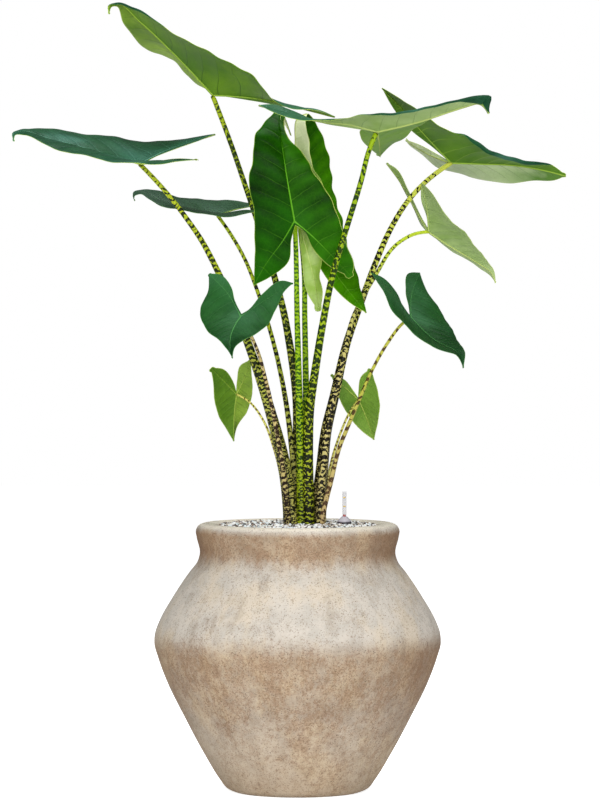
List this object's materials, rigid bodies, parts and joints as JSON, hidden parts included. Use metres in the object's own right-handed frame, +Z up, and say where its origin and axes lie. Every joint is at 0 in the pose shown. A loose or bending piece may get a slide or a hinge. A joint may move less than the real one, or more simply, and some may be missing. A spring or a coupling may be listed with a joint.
{
  "type": "potted zebrina alocasia",
  "caption": "House plant with arrow-shaped leaves on banded stalks, standing in a shouldered stone-look planter with a grit dressing and a water-level gauge.",
  "frame": {"origin": "middle of the planter's flat base", "axes": "+Z up, front of the plant, as pictured, towards -Y, +X to the viewer's right"},
  "size_m": [0.6895, 0.359, 0.9845],
  "materials": {
    "planter": "matt mineral wash, beige with brown specks and shallow pits",
    "substrate": "moist bark and coir potting mix",
    "grit": "loose white, blue-grey and brown grit",
    "corm": "fibrous brown",
    "petiole_green": "satin yellow-green with blackish bands",
    "petiole_cream": "satin cream-yellow with black bands",
    "petiole_tan": "satin tan with brown bands",
    "leaf": "glossy deep green above, paler and matt below, light veins",
    "gauge_clear": "clear moulded plastic",
    "gauge_red": "satin",
    "gauge_dark": "satin"
  },
  "bodies": {
    "plant_and_planter": {"planter": "planter", "substrate": "substrate", "grit_dressing": "grit", "corm": "corm", "petiole_crown_left": "petiole_green", "petiole_far_left": "petiole_green", "petiole_mid_left": "petiole_green", "petiole_crown_right": "petiole_green", "petiole_far_right": "petiole_cream", "petiole_centre_front": "petiole_green", "petiole_centre_back": "petiole_green", "petiole_low_left": "petiole_tan", "petiole_low_right": "petiole_tan", "petiole_mid_right": "petiole_cream", "petiole_young_left": "petiole_tan", "petiole_young_right": "petiole_tan", "blade_crown_left": "leaf", "blade_far_left": "leaf", "blade_mid_left": "leaf", "blade_crown_right": "leaf", "blade_far_right": "leaf", "blade_centre_front": "leaf", "blade_centre_back": "leaf", "blade_low_left": "leaf", "blade_low_right": "leaf", "blade_mid_right": "leaf", "blade_young_left": "leaf", "blade_young_right": "leaf", "gauge_tube": "gauge_clear", "gauge_cap": "gauge_dark"},
    "float": {"gauge_float": "gauge_red"}
  },
  "joints": [
    {"name": "float_rise", "type": "slide", "parent": "plant_and_planter", "child": "float", "axis": [0, 0, 1], "range_m": [0, 0.026]}
  ]
}
